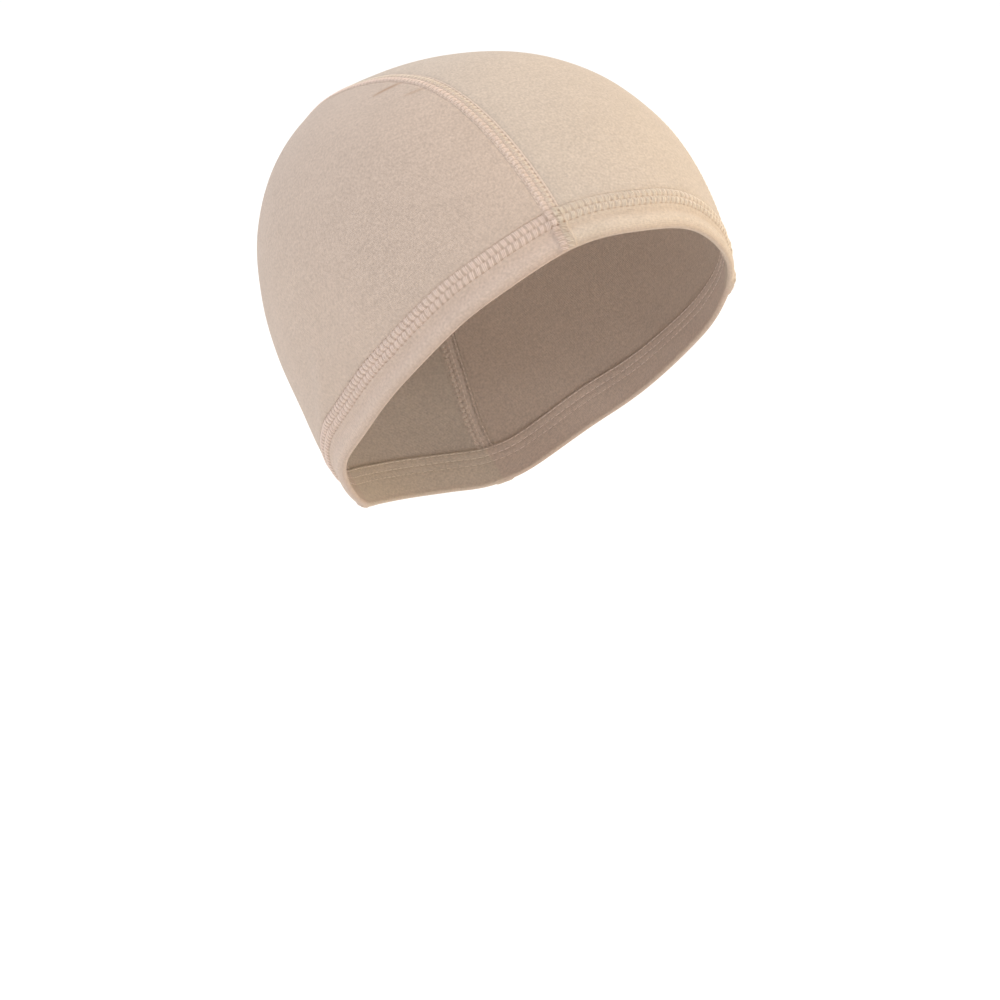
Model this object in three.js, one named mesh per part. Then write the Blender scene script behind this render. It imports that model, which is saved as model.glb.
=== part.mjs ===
import * as THREE from 'three';
import { mergeVertices } from 'three/addons/utils/BufferGeometryUtils.js';

// A wig cap of stretch jersey, in the form that it takes when it is worn: three panels, two raised
// seams from front to back, and a folded hem round the opening. Millimetres, +Z up. The wearer looks
// along -Y and the wearer's right is -X. Directions are given by azimuth, counted from the front
// towards the wearer's left, and by elevation over the widest level of the cap.

// Reach of the stretched cloth from the middle of the hollow
const FRONT_REACH = 96.7;
const BACK_REACH = 95.9;
const HALF_WIDTH = 76.2;
const CROWN_HEIGHT = 91.7;
const LOWER_DEPTH = 84.0;

// Heights of the hem's edge over and under the widest level
const FRONT_RISE = 42.0;
const NAPE_DROP = 81.0;

// The centre panel, and how far the worn cap has slipped towards the wearer's left
const CENTRE_PANEL_WIDTH = 78;
const PANEL_SLIP = 6.5;

// Cloth, hem and seams
const CLOTH = 1.2;
const HEM_FREE = 9.4;
const HEM_STITCH_BAND = 6.3;
const HEM_THICKNESS = 2.2;
const HEM_PROUD = 0.3;
const HEM_GROOVE = 0.4;
const HEM_LUMP = 0.6;
const SEAM_WIDTH = 6.2;
const SEAM_THICKNESS = 1.8;
const SEAM_PROUD = 0.4;
const FOLD_HEIGHT = 0.8;
const FOLD_WIDTH = 5;
const GAP = 0.3;

// Facets: along the seams, across each panel, across a seam and round the hem's folded edge
const ALONG = 40;
const ACROSS_CENTRE = 10;
const ACROSS_SIDE = 14;
const ACROSS_SEAM = 4;
const ROUND_EDGE = 4;

// How full the form is at each elevation, as shares of an ellipsoid with the reaches above
const FULLNESS = [
  { elevation: -75, front: 0.992, side: 1.1, back: 1.2 },
  { elevation: -60, front: 0.992, side: 1.04, back: 1.09 },
  { elevation: -45, front: 0.992, side: 0.995, back: 1.01 },
  { elevation: -30, front: 0.992, side: 0.95, back: 0.958 },
  { elevation: -15, front: 0.992, side: 0.954, back: 0.977 },
  { elevation: 0, front: 1.0, side: 1.0, back: 1.0 },
  { elevation: 15, front: 1.0, side: 1.06, back: 1.037 },
  { elevation: 30, front: 0.975, side: 1.081, back: 1.075 },
  { elevation: 45, front: 0.956, side: 1.087, back: 1.059 },
  { elevation: 60, front: 0.96, side: 1.055, back: 1.014 },
  { elevation: 75, front: 0.971, side: 1.015, back: 0.998 },
  { elevation: 90, front: 1.0, side: 1.0, back: 1.0 },
];

// A plan section is an ellipse at the back, whose power is 2, and a little leaner at its front corners
const BACK_POWER = 2;
const FRONT_POWER = 1.94;

// The hem's edge, as shares of the way from its lowest point at the nape up to its front
const HEM_LINE = [
  { azimuth: 0, rise: 1.0 },
  { azimuth: 20, rise: 0.963 },
  { azimuth: 40, rise: 0.806 },
  { azimuth: 60, rise: 0.57 },
  { azimuth: 80, rise: 0.372 },
  { azimuth: 100, rise: 0.233 },
  { azimuth: 122, rise: 0.09 },
  { azimuth: 140, rise: 0.03 },
  { azimuth: 160, rise: 0.007 },
  { azimuth: 180, rise: 0.0 },
];

// Each seam's place, as shares of half the centre panel's width, by the angle over the crown
const SEAM_LINES = [
  { angle: 0, right: 0.92, left: 1.37 },
  { angle: 30, right: 0.95, left: 1.42 },
  { angle: 60, right: 1.03, left: 1.33 },
  { angle: 90, right: 1.07, left: 1.18 },
  { angle: 130, right: 1.04, left: 0.98 },
  { angle: 180, right: 0.98, left: 0.8 },
  { angle: 240, right: 0.92, left: 0.7 },
];

// Soft folds, each from one direction to another, as shares of the fold height and width
const FOLDS = [
  { name: 'crown crease', from: [-100, 58], to: [-97, 66], height: -0.7, width: 0.7 },
  { name: 'small crown crease', from: [-84, 60], to: [-76, 65], height: -0.4, width: 0.6 },
  { name: 'ridge over the ear', from: [-74, 6], to: [-94, -16], height: 0.7, width: 1.1 },
  { name: 'ridge behind the ear', from: [-94, -10], to: [-103, -28], height: 0.6, width: 1.0 },
];

const HEM_HEIGHT = HEM_FREE + HEM_STITCH_BAND;
const RIGHT = -1;
const LEFT = 1;
const SMALL_STEP = 0.002;

const radians = THREE.MathUtils.degToRad;
const degrees = THREE.MathUtils.radToDeg;

// A smooth curve through the named column of a table, flat before its first and after its last row
function along(table, key, column) {
  const places = table.map((row) => row[key]);
  const values = table.map((row) => row[column]);
  const last = places.length - 1;
  const slope = (i) => {
    if (i === 0 || i === last) return 0;
    return (values[i + 1] - values[i - 1]) / (places[i + 1] - places[i - 1]);
  };
  return (place) => {
    if (place <= places[0]) return values[0];
    if (place >= places[last]) return values[last];
    const i = places.findIndex((next) => next > place) - 1;
    const step = places[i + 1] - places[i];
    const t = (place - places[i]) / step;
    const rise = values[i + 1] - values[i];
    const startSlope = slope(i) * step;
    const endSlope = slope(i + 1) * step;
    const square = 3 * rise - 2 * startSlope - endSlope;
    const cube = startSlope + endSlope - 2 * rise;
    return values[i] + t * (startSlope + t * (square + t * cube));
  };
}

// The value between low and high at which a rising function passes zero
function crossing(low, high, rising) {
  for (let halving = 0; halving < 40; halving++) {
    const middle = (low + high) / 2;
    if (rising(middle) < 0) low = middle;
    else high = middle;
  }
  return (low + high) / 2;
}

function direction(azimuth, elevation) {
  const flat = Math.cos(elevation);
  return new THREE.Vector3(flat * Math.sin(azimuth), -flat * Math.cos(azimuth), Math.sin(elevation));
}

const azimuthOf = (point) => Math.atan2(point.x, -point.y);
const elevationOf = (point) => Math.asin(point.z / point.length());

const frontFullness = along(FULLNESS, 'elevation', 'front');
const sideFullness = along(FULLNESS, 'elevation', 'side');
const backFullness = along(FULLNESS, 'elevation', 'back');

// The height that the folds add to the cloth in one direction
function foldHeight(aim) {
  let height = 0;
  for (const fold of FOLDS) {
    const from = direction(...fold.from.map(radians));
    const run = direction(...fold.to.map(radians)).sub(from);
    const offset = aim.clone().sub(from);
    const share = THREE.MathUtils.clamp(offset.dot(run) / run.lengthSq(), 0, 1);
    const distance = offset.addScaledVector(run, -share).length() * HALF_WIDTH;
    const spread = distance / (fold.width * FOLD_WIDTH);
    height += fold.height * FOLD_HEIGHT * Math.exp(-spread * spread);
  }
  return height;
}

// The outer face of the cloth in one direction from the middle of the hollow
function skin(aim) {
  const unit = aim.clone().normalize();
  const azimuth = azimuthOf(unit);
  const elevation = Math.asin(THREE.MathUtils.clamp(unit.z, -1, 1));
  const flat = Math.cos(elevation);
  const upright = Math.sin(elevation) / (elevation >= 0 ? CROWN_HEIGHT : LOWER_DEPTH);
  const reach = (length) => 1 / Math.hypot(flat / length, upright);
  const angle = degrees(elevation);
  const toFront = Math.cos(azimuth) >= 0;
  const lengthways = toFront ? reach(FRONT_REACH) * frontFullness(angle) : reach(BACK_REACH) * backFullness(angle);
  const sideways = reach(HALF_WIDTH) * sideFullness(angle);
  const power = 2 + ((toFront ? FRONT_POWER : BACK_POWER) - 2) * flat;
  const first = (Math.abs(Math.cos(azimuth)) / lengthways) ** power;
  const second = (Math.abs(Math.sin(azimuth)) / sideways) ** power;
  return unit.multiplyScalar((first + second) ** (-1 / power) + foldHeight(unit));
}

// The outward normal of the cloth at a point on it
function outward(point) {
  const unit = point.clone().normalize();
  const helper = Math.abs(unit.z) < 0.9 ? new THREE.Vector3(0, 0, 1) : new THREE.Vector3(0, 1, 0);
  const east = helper.cross(unit).normalize();
  const north = unit.clone().cross(east);
  const stepEast = skin(unit.clone().addScaledVector(east, SMALL_STEP));
  stepEast.sub(skin(unit.clone().addScaledVector(east, -SMALL_STEP)));
  const stepNorth = skin(unit.clone().addScaledVector(north, SMALL_STEP));
  stepNorth.sub(skin(unit.clone().addScaledVector(north, -SMALL_STEP)));
  return stepEast.cross(stepNorth).normalize();
}

const raised = (point, height) => point.clone().addScaledVector(outward(point), height);

// A point on the cloth beside a line on it: line gives the line's points, and distance is counted
// to the left of its way as seen from outside
function beside(line, place, distance) {
  const point = line(place);
  const way = line(place + SMALL_STEP).sub(line(place - SMALL_STEP)).normalize();
  return skin(point.addScaledVector(outward(point).cross(way), distance));
}

const hemRise = along(HEM_LINE, 'azimuth', 'rise');

// The hem's edge, whose way runs round towards the wearer's left, so that its left is up
function hemEdge(azimuth) {
  const turned = Math.atan2(Math.sin(azimuth), Math.cos(azimuth));
  const height = hemRise(Math.abs(degrees(turned))) * (FRONT_RISE + NAPE_DROP) - NAPE_DROP;
  const over = (elevation) => skin(direction(azimuth, elevation)).z - height;
  return skin(direction(azimuth, crossing(-1.2, 1.2, over)));
}

const aboveHem = (azimuth, distance) => beside(hemEdge, azimuth, distance);

// The middle line of a seam, by its angle over the crown from the front to the back
const seamShare = { [RIGHT]: along(SEAM_LINES, 'angle', 'right'), [LEFT]: along(SEAM_LINES, 'angle', 'left') };

function seamMiddle(side) {
  return (angle) => {
    const away = (seamShare[side](degrees(angle)) * CENTRE_PANEL_WIDTH) / 2 + side * PANEL_SLIP;
    const aim = (tilt) =>
      new THREE.Vector3(
        side * Math.sin(tilt),
        -Math.cos(tilt) * Math.cos(angle),
        Math.cos(tilt) * Math.sin(angle),
      );
    return skin(aim(crossing(0, 1.2, (tilt) => side * skin(aim(tilt)).x - away)));
  };
}

// The line that the panels and seams end on, above the hem, by azimuth from the back round to the back
const LINE_SAMPLES = 360;
const topLine = Array.from({ length: LINE_SAMPLES + 1 }, (_, i) => {
  const azimuth = ((i / LINE_SAMPLES) * 2 - 1) * Math.PI;
  const point = aboveHem(azimuth, HEM_HEIGHT + GAP);
  const place = i % LINE_SAMPLES === 0 ? azimuth : azimuthOf(point);
  return { place, azimuth, elevation: elevationOf(point) };
});

function onTopLine(place, column) {
  const next = Math.max(1, topLine.findIndex((sample) => sample.place > place));
  const start = topLine[next - 1];
  const share = (place - start.place) / (topLine[next].place - start.place);
  return THREE.MathUtils.lerp(start[column], topLine[next][column], share);
}

const aboveTopLine = (point) => elevationOf(point) - onTopLine(azimuthOf(point), 'elevation');

// A line beside a seam, from where it leaves the hem's top in front to where it meets it at the back.
// Outer is counted away from the centre panel.
const CROWN_ANGLE = Math.PI / 2;
const FRONT_LIMIT = radians(-5);
const BACK_LIMIT = radians(232);

function seamSide(side, outer) {
  const middle = seamMiddle(side);
  const point = (angle) => beside(middle, angle, -side * outer);
  const front = crossing(FRONT_LIMIT, CROWN_ANGLE, (angle) => aboveTopLine(point(angle)));
  const back = crossing(CROWN_ANGLE, BACK_LIMIT, (angle) => -aboveTopLine(point(angle)));
  return (share) => point(THREE.MathUtils.lerp(front, back, share));
}

// The azimuth of the hem station under a panel's corner
const hemStation = (corner) => onTopLine(azimuthOf(corner), 'azimuth');

const EDGE_OFFSET = SEAM_WIDTH / 2 + GAP;
const sides = [RIGHT, LEFT].map((side) => {
  const inner = seamSide(side, -EDGE_OFFSET);
  const outer = seamSide(side, EDGE_OFFSET);
  return {
    side,
    inner,
    outer,
    innerFront: hemStation(inner(0)),
    innerBack: hemStation(inner(1)),
    outerFront: hemStation(outer(0)),
    outerBack: hemStation(outer(1)),
  };
});
const [rightSide, leftSide] = sides;

const FULL_TURN = 2 * Math.PI;
const shares = (count) => Array.from({ length: count + 1 }, (_, i) => i / count);
const topOfHem = (azimuth) => aboveHem(azimuth, HEM_HEIGHT + GAP);

// A closed body from a grid of outer points and the grid of inner points behind it
function sheetBody(outer, inner) {
  const positions = [];
  const triangles = [];
  const rows = outer.length;
  const columns = outer[0].length;
  for (const grid of [outer, inner]) {
    for (const row of grid) {
      for (const point of row) positions.push(point.x, point.y, point.z);
    }
  }
  const at = (layer, i, j) => (layer * rows + i) * columns + j;
  const quad = (a, b, c, d) => triangles.push(a, b, c, a, c, d);
  for (let i = 0; i + 1 < rows; i++) {
    for (let j = 0; j + 1 < columns; j++) {
      quad(at(0, i, j), at(0, i, j + 1), at(0, i + 1, j + 1), at(0, i + 1, j));
      quad(at(1, i, j), at(1, i + 1, j), at(1, i + 1, j + 1), at(1, i, j + 1));
    }
    const last = columns - 1;
    quad(at(0, i, 0), at(0, i + 1, 0), at(1, i + 1, 0), at(1, i, 0));
    quad(at(0, i, last), at(1, i, last), at(1, i + 1, last), at(0, i + 1, last));
  }
  for (let j = 0; j + 1 < columns; j++) {
    const last = rows - 1;
    quad(at(0, 0, j), at(1, 0, j), at(1, 0, j + 1), at(0, 0, j + 1));
    quad(at(0, last, j), at(0, last, j + 1), at(1, last, j + 1), at(1, last, j));
  }
  return closedGeometry(positions, triangles);
}

// Merges shared points, drops the triangles that have no area and turns the faces outward
function closedGeometry(positions, triangles) {
  let geometry = new THREE.BufferGeometry();
  geometry.setAttribute('position', new THREE.Float32BufferAttribute(positions, 3));
  geometry.setIndex(triangles);
  geometry = mergeVertices(geometry, 1e-3);
  const index = Array.from(geometry.index.array);
  const spots = geometry.attributes.position;
  const kept = [];
  let volume = 0;
  const [a, b, c] = [new THREE.Vector3(), new THREE.Vector3(), new THREE.Vector3()];
  for (let i = 0; i < index.length; i += 3) {
    const corners = index.slice(i, i + 3);
    if (new Set(corners).size < 3) continue;
    kept.push(corners);
    a.fromBufferAttribute(spots, corners[0]);
    b.fromBufferAttribute(spots, corners[1]);
    c.fromBufferAttribute(spots, corners[2]);
    volume += a.dot(b.cross(c));
  }
  geometry.setIndex(kept.flatMap((corners) => (volume < 0 ? corners.reverse() : corners)));
  geometry.computeVertexNormals();
  return geometry;
}

// Cloth of one thickness under a grid of points on the skin
function clothBody(grid, proud, thickness) {
  const outer = grid.map((row) => row.map((point) => raised(point, proud)));
  const inner = grid.map((row) => row.map((point) => raised(point, proud - thickness)));
  return sheetBody(outer, inner);
}

// The centre panel: a patch between both seams' inner sides and the hem's front and back
function centrePanel() {
  const frontEdge = (share) =>
    topOfHem(THREE.MathUtils.lerp(rightSide.innerFront, leftSide.innerFront, share));
  const backEdge = (share) =>
    topOfHem(THREE.MathUtils.lerp(rightSide.innerBack + FULL_TURN, leftSide.innerBack, share));
  const grid = shares(ALONG).map((way) => {
    const right = rightSide.inner(way);
    const left = leftSide.inner(way);
    return shares(ACROSS_CENTRE).map((share) => {
      const point = right.clone().lerp(left, share);
      const front = frontEdge(share).sub(rightSide.inner(0).lerp(leftSide.inner(0), share));
      const back = backEdge(share).sub(rightSide.inner(1).lerp(leftSide.inner(1), share));
      return skin(point.addScaledVector(front, 1 - way).addScaledVector(back, way));
    });
  });
  return clothBody(grid, 0, CLOTH);
}

// A side panel: from a seam's outer side down to the hem, closing to a point at front and back
function sideStation(part, share) {
  return THREE.MathUtils.lerp(part.outerFront, part.outerBack, share);
}

function sidePanel(part) {
  const grid = shares(ALONG).map((way) => {
    const top = part.outer(way);
    const bottom = topOfHem(sideStation(part, way));
    if (way === 0 || way === 1) bottom.copy(top);
    return shares(ACROSS_SIDE).map((share) => skin(top.clone().lerp(bottom, share)));
  });
  return clothBody(grid, 0, CLOTH);
}

// A seam: a flat raised ribbon between two panels
function seamRibbon(part) {
  const lines = shares(ACROSS_SEAM).map((share) => seamSide(part.side, (share - 0.5) * SEAM_WIDTH));
  const grid = shares(ALONG).map((way) => lines.map((line) => line(way)));
  return clothBody(grid, SEAM_PROUD, SEAM_THICKNESS);
}

// The hem's section: distances up from its edge, and heights over the cloth's outer face
function hemSection() {
  const radius = HEM_THICKNESS / 2;
  const inner = HEM_PROUD - HEM_THICKNESS;
  const section = [
    [HEM_HEIGHT, HEM_PROUD],
    [HEM_FREE + HEM_GROOVE, HEM_PROUD],
    [HEM_FREE, HEM_PROUD - HEM_GROOVE],
    [HEM_FREE - 2 * HEM_GROOVE, HEM_PROUD],
    [HEM_FREE / 2, HEM_PROUD],
  ];
  for (const share of shares(ROUND_EDGE)) {
    const turn = share * Math.PI;
    section.push([radius - radius * Math.sin(turn), HEM_PROUD - radius + radius * Math.cos(turn)]);
  }
  section.push([HEM_FREE / 2, inner], [HEM_FREE, inner], [HEM_HEIGHT, inner]);
  return section;
}

// Stations round the hem: those of the panels' lower edges, and one under the middle of each seam end
function hemStations() {
  const stations = [];
  const addRun = (start, end, count) => {
    for (const share of shares(count)) stations.push(THREE.MathUtils.lerp(start, end, share));
  };
  const middles = [
    (rightSide.innerFront + rightSide.outerFront) / 2,
    (leftSide.innerFront + leftSide.outerFront) / 2,
    (leftSide.innerBack + leftSide.outerBack) / 2,
    (rightSide.innerBack + rightSide.outerBack) / 2 + FULL_TURN,
  ];
  stations.push(middles[0]);
  addRun(rightSide.innerFront, leftSide.innerFront, ACROSS_CENTRE);
  stations.push(middles[1]);
  addRun(leftSide.outerFront, leftSide.outerBack, ALONG);
  stations.push(middles[2]);
  addRun(leftSide.innerBack, rightSide.innerBack + FULL_TURN, ACROSS_CENTRE);
  stations.push(middles[3]);
  addRun(rightSide.outerBack + FULL_TURN, rightSide.outerFront + FULL_TURN, ALONG);
  return { stations, middles };
}

// The hem band: its section carried round the edge, thicker where a seam is folded in
function hemBand() {
  const { stations, middles } = hemStations();
  const section = hemSection();
  const positions = [];
  const triangles = [];
  const count = section.length;
  stations.forEach((station, k) => {
    const edge = hemEdge(station);
    const nearest = Math.min(...middles.map((middle) => hemEdge(middle).distanceTo(edge)));
    const lump = HEM_LUMP * Math.exp(-((nearest / (SEAM_WIDTH / 2)) ** 2));
    section.forEach(([distance, height], j) => {
      const point = raised(aboveHem(station, distance), height >= 0 ? height + lump : height);
      positions.push(point.x, point.y, point.z);
      const next = (k + 1) % stations.length;
      const beyond = (j + 1) % count;
      const corners = [k * count + j, k * count + beyond, next * count + beyond, next * count + j];
      triangles.push(corners[0], corners[1], corners[2], corners[0], corners[2], corners[3]);
    });
  });
  return closedGeometry(positions, triangles);
}

const centreJersey = new THREE.MeshStandardMaterial({ color: 0xe2ceb2, roughness: 0.9, metalness: 0 });
const sideJersey = new THREE.MeshStandardMaterial({ color: 0xcfbaa8, roughness: 0.9, metalness: 0 });
const stitching = new THREE.MeshStandardMaterial({ color: 0xdcc7ae, roughness: 0.85, metalness: 0 });

// The cap hangs from the inner face of its crown, which is the origin
const cap = new THREE.Group();
cap.position.z = CLOTH - CROWN_HEIGHT;

function addPiece(name, geometry, material) {
  const piece = new THREE.Mesh(geometry, material);
  piece.name = name;
  cap.add(piece);
}

addPiece('centre_panel', centrePanel(), centreJersey);
addPiece('right_panel', sidePanel(rightSide), sideJersey);
addPiece('left_panel', sidePanel(leftSide), sideJersey);
addPiece('seam_right', seamRibbon(rightSide), stitching);
addPiece('seam_left', seamRibbon(leftSide), stitching);
addPiece('hem_band', hemBand(), stitching);

export default cap;
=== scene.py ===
import math

import bmesh
import bpy
import numpy as np
from mathutils import Matrix, Vector, kdtree


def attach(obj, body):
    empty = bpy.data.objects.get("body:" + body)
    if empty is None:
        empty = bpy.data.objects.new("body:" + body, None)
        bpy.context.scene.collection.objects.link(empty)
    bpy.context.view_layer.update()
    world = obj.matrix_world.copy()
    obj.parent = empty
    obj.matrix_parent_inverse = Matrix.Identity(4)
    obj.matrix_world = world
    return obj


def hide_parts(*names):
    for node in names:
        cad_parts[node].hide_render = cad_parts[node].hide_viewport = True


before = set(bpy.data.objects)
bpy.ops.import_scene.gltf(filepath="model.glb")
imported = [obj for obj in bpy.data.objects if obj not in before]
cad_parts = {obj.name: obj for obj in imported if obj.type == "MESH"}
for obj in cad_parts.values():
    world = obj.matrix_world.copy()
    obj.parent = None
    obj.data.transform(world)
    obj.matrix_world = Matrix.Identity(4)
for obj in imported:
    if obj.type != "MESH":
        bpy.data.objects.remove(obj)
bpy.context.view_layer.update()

bpy.ops.object.select_all(action="DESELECT")

# The centre panel is one strip of fine stretch jersey from the front hem over the crown to the back.
# It is stretched smooth over the whole form, so the form of the worn cap is given here, in
# millimetres from the middle of its hollow, and every other piece lies on it.
FRONT_REACH = 96.7
BACK_REACH = 95.9
HALF_WIDTH = 76.2
CROWN_HEIGHT = 91.7
LOWER_DEPTH = 84.0
BACK_POWER = 2.0
FRONT_POWER = 1.94
CLOTH = 1.0
MIDDLE = np.array([0.0, 0.0, -90.5])

# How full the form is beside an ellipsoid: elevation, front, side, back
FULLNESS = np.array([
    [-75, 0.992, 1.1, 1.2],
    [-60, 0.992, 1.04, 1.09],
    [-45, 0.992, 0.995, 1.01],
    [-30, 0.992, 0.95, 0.958],
    [-15, 0.992, 0.954, 0.977],
    [0, 1.0, 1.0, 1.0],
    [15, 1.0, 1.06, 1.037],
    [30, 0.975, 1.081, 1.075],
    [45, 0.956, 1.087, 1.059],
    [60, 0.96, 1.055, 1.014],
    [75, 0.971, 1.015, 0.998],
    [90, 1.0, 1.0, 1.0],
])

# Soft folds of the cloth: azimuth and elevation of both ends, height and spread in millimetres
CLOTH_FOLDS = [
    ((-74, 6), (-94, -16), 0.9, 5.5),
    ((-94, -10), (-103, -28), 0.8, 5.0),
]


def along(table, column):
    """A smooth curve through one column of a table, flat before its first and after its last row."""
    places, values = table[:, 0], table[:, column]
    slopes = np.zeros(len(values))
    slopes[1:-1] = (values[2:] - values[:-2]) / (places[2:] - places[:-2])

    def curve(place):
        place = np.clip(place, places[0], places[-1])
        i = np.clip(np.searchsorted(places, place, side="right") - 1, 0, len(places) - 2)
        step = places[i + 1] - places[i]
        t = (place - places[i]) / step
        rise = values[i + 1] - values[i]
        first, last = slopes[i] * step, slopes[i + 1] * step
        square = 3 * rise - 2 * first - last
        return values[i] + t * (first + t * (square + t * (first + last - 2 * rise)))

    return curve


front_fullness = along(FULLNESS, 1)
side_fullness = along(FULLNESS, 2)
back_fullness = along(FULLNESS, 3)


def unit(vectors):
    return vectors / np.linalg.norm(vectors, axis=-1, keepdims=True)


def direction(azimuth, elevation):
    flat = np.cos(elevation)
    return np.stack([flat * np.sin(azimuth), -flat * np.cos(azimuth), np.sin(elevation)], -1)


def azimuth_of(points):
    return np.arctan2(points[..., 0], -points[..., 1])


def elevation_of(points):
    return np.arcsin(np.clip(unit(points)[..., 2], -1, 1))


def smooth(share):
    share = np.clip(share, 0, 1)
    return share * share * (3 - 2 * share)


def bell(distance, spread):
    return np.exp(-((distance / spread) ** 2))


def fold_height(aim):
    height = np.zeros(aim.shape[:-1])
    for start, end, rise, spread in CLOTH_FOLDS:
        first = direction(*np.radians(start))
        run = direction(*np.radians(end)) - first
        offset = aim - first
        share = np.clip(offset @ run / (run @ run), 0, 1)
        distance = np.linalg.norm(offset - share[..., None] * run, axis=-1) * HALF_WIDTH
        height += rise * bell(distance, spread)
    return height


def skin(points):
    """The outer face of the cloth in the direction of each point."""
    aim = unit(points)
    azimuth, elevation = azimuth_of(aim), np.arcsin(np.clip(aim[..., 2], -1, 1))
    flat, angle = np.cos(elevation), np.degrees(elevation)
    upright = np.sin(elevation) / np.where(elevation >= 0, CROWN_HEIGHT, LOWER_DEPTH)
    front = np.cos(azimuth) >= 0
    length = np.where(front, FRONT_REACH, BACK_REACH)
    lengthways = np.where(front, front_fullness(angle), back_fullness(angle))
    lengthways = lengthways / np.hypot(flat / length, upright)
    sideways = side_fullness(angle) / np.hypot(flat / HALF_WIDTH, upright)
    power = 2 + (np.where(front, FRONT_POWER, BACK_POWER) - 2) * flat
    first = (np.abs(np.cos(azimuth)) / lengthways) ** power
    second = (np.abs(np.sin(azimuth)) / sideways) ** power
    return aim * ((first + second) ** (-1 / power) + fold_height(aim))[..., None]


SLOPE_STEP = 0.002


def outward(points):
    """The cloth's outward normal at each point on it."""
    aim = unit(points)
    upright = np.abs(aim[..., 2:]) < 0.9
    helper = np.where(upright, np.array([0.0, 0, 1]), np.array([0.0, 1, 0]))
    east = unit(np.cross(helper, aim))
    north = np.cross(aim, east)
    across = skin(aim + east * SLOPE_STEP) - skin(aim - east * SLOPE_STEP)
    upward = skin(aim + north * SLOPE_STEP) - skin(aim - north * SLOPE_STEP)
    return unit(np.cross(across, upward))


def line_through(places, points):
    return lambda place: np.stack([np.interp(place, places, points[:, k]) for k in range(3)], -1)


def beside(line, place, distance, step):
    """Points on the cloth beside a line on it, to the left of its way as seen from outside."""
    point = line(place)
    way = unit(line(place + step) - line(place - step))
    across = np.cross(outward(point), way)
    return skin(point + np.asarray(distance)[..., None] * across)


HALVINGS = 34


def passing(low, high, rising):
    """The place between low and high where a rising function passes zero, for many at once."""
    low, high = np.array(low, float), np.array(high, float)
    for _ in range(HALVINGS):
        middle = (low + high) / 2
        under = rising(middle) < 0
        low, high = np.where(under, middle, low), np.where(under, high, middle)
    return (low + high) / 2


# The hem's edge, which every panel is cut to: azimuth, share of the way up from its lowest place
FRONT_RISE = 42.0
NAPE_DROP = 81.0
HEM_LINE = np.array([
    [0, 1.0], [20, 0.963], [40, 0.806], [60, 0.57], [80, 0.372],
    [100, 0.233], [122, 0.09], [140, 0.03], [160, 0.007], [180, 0.0],
])
hem_rise = along(HEM_LINE, 1)
hem_azimuths = np.linspace(-1.05 * math.pi, 1.05 * math.pi, 3781)
hem_heights = np.degrees(np.abs(np.arctan2(np.sin(hem_azimuths), np.cos(hem_azimuths))))
hem_heights = hem_rise(hem_heights) * (FRONT_RISE + NAPE_DROP) - NAPE_DROP
lowest = np.full(hem_azimuths.shape, -1.2)
hem_elevations = passing(
    lowest, -lowest, lambda e: skin(direction(hem_azimuths, e))[..., 2] - hem_heights
)
hem_edge = line_through(hem_azimuths, skin(direction(hem_azimuths, hem_elevations)))


def above_hem(azimuth, distance):
    turned = np.arctan2(np.sin(azimuth), np.cos(azimuth))
    return beside(hem_edge, turned, distance, 0.004)


def rim(distance):
    """The line at one distance above the hem's edge, by azimuth: place, hem azimuth, elevation."""
    stations = np.linspace(-math.pi, math.pi, 721)
    points = above_hem(stations, np.full(stations.shape, distance))
    places = azimuth_of(points)
    places[0], places[-1] = -math.pi, math.pi
    return places, stations, elevation_of(points)


# Where the two seams run: the centre panel's width, how far the cap has slipped to the left, the
# angles over the crown between which a seam is worked out, and the widest tilt that is tried
RIGHT, LEFT = -1, 1
SIDES = ((RIGHT, "right"), (LEFT, "left"))
CENTRE_PANEL_WIDTH = 78.0
PANEL_SLIP = 6.5
SEAM_FIRST, SEAM_LAST = 5, 238
WIDEST_TILT = 1.2
# Angle over the crown, then the right and left seam's distance as a share of half the panel's width
SEAM_LINES = np.array([
    [0, 0.92, 1.37], [30, 0.95, 1.42], [60, 1.03, 1.33],
    [90, 1.07, 1.18], [130, 1.04, 0.98], [180, 0.98, 0.8], [240, 0.92, 0.7],
])


def seam_middle(side):
    share = along(SEAM_LINES, 1 if side == RIGHT else 2)
    angles = np.radians(np.linspace(SEAM_FIRST, SEAM_LAST, 2400))
    away = share(np.degrees(angles)) * CENTRE_PANEL_WIDTH / 2 + side * PANEL_SLIP

    def aim(tilt):
        turned = np.cos(tilt)
        return np.stack([side * np.sin(tilt), -turned * np.cos(angles), turned * np.sin(angles)], -1)

    tilt = passing(0 * angles, 0 * angles + WIDEST_TILT, lambda t: side * skin(aim(t))[..., 0] - away)
    points = skin(aim(tilt))
    steps = np.linalg.norm(np.diff(points, axis=0), axis=-1)
    lengths = np.concatenate([[0], np.cumsum(steps)])
    return lengths, points


# Each seam's middle line by its length in millimetres from the front end of the table
seam_tables = {side: seam_middle(side) for side in (RIGHT, LEFT)}
seam_lines = {side: line_through(*seam_tables[side]) for side in (RIGHT, LEFT)}


def seam_point(side, length, offset):
    """A point beside a seam's middle line. Offset is counted away from the centre panel."""
    offset = -side * (np.asarray(offset) + 0 * np.asarray(length))
    return beside(seam_lines[side], length, offset, 0.3)


def seam_ends(side, offset, distance):
    """The lengths at which a line beside the seam meets the line at one distance above the hem."""
    places, _, elevations = rim(distance)
    offset = np.asarray(offset, float)
    last = seam_tables[side][0][-1]
    crown = 0 * offset + last * 0.45

    def over(length):
        point = seam_point(side, length, offset)
        return elevation_of(point) - np.interp(azimuth_of(point), places, elevations)

    front = passing(0 * offset + 0.5, crown, over)
    back = passing(crown, 0 * offset + last - 0.5, lambda length: -over(length))
    return front, back


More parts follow.
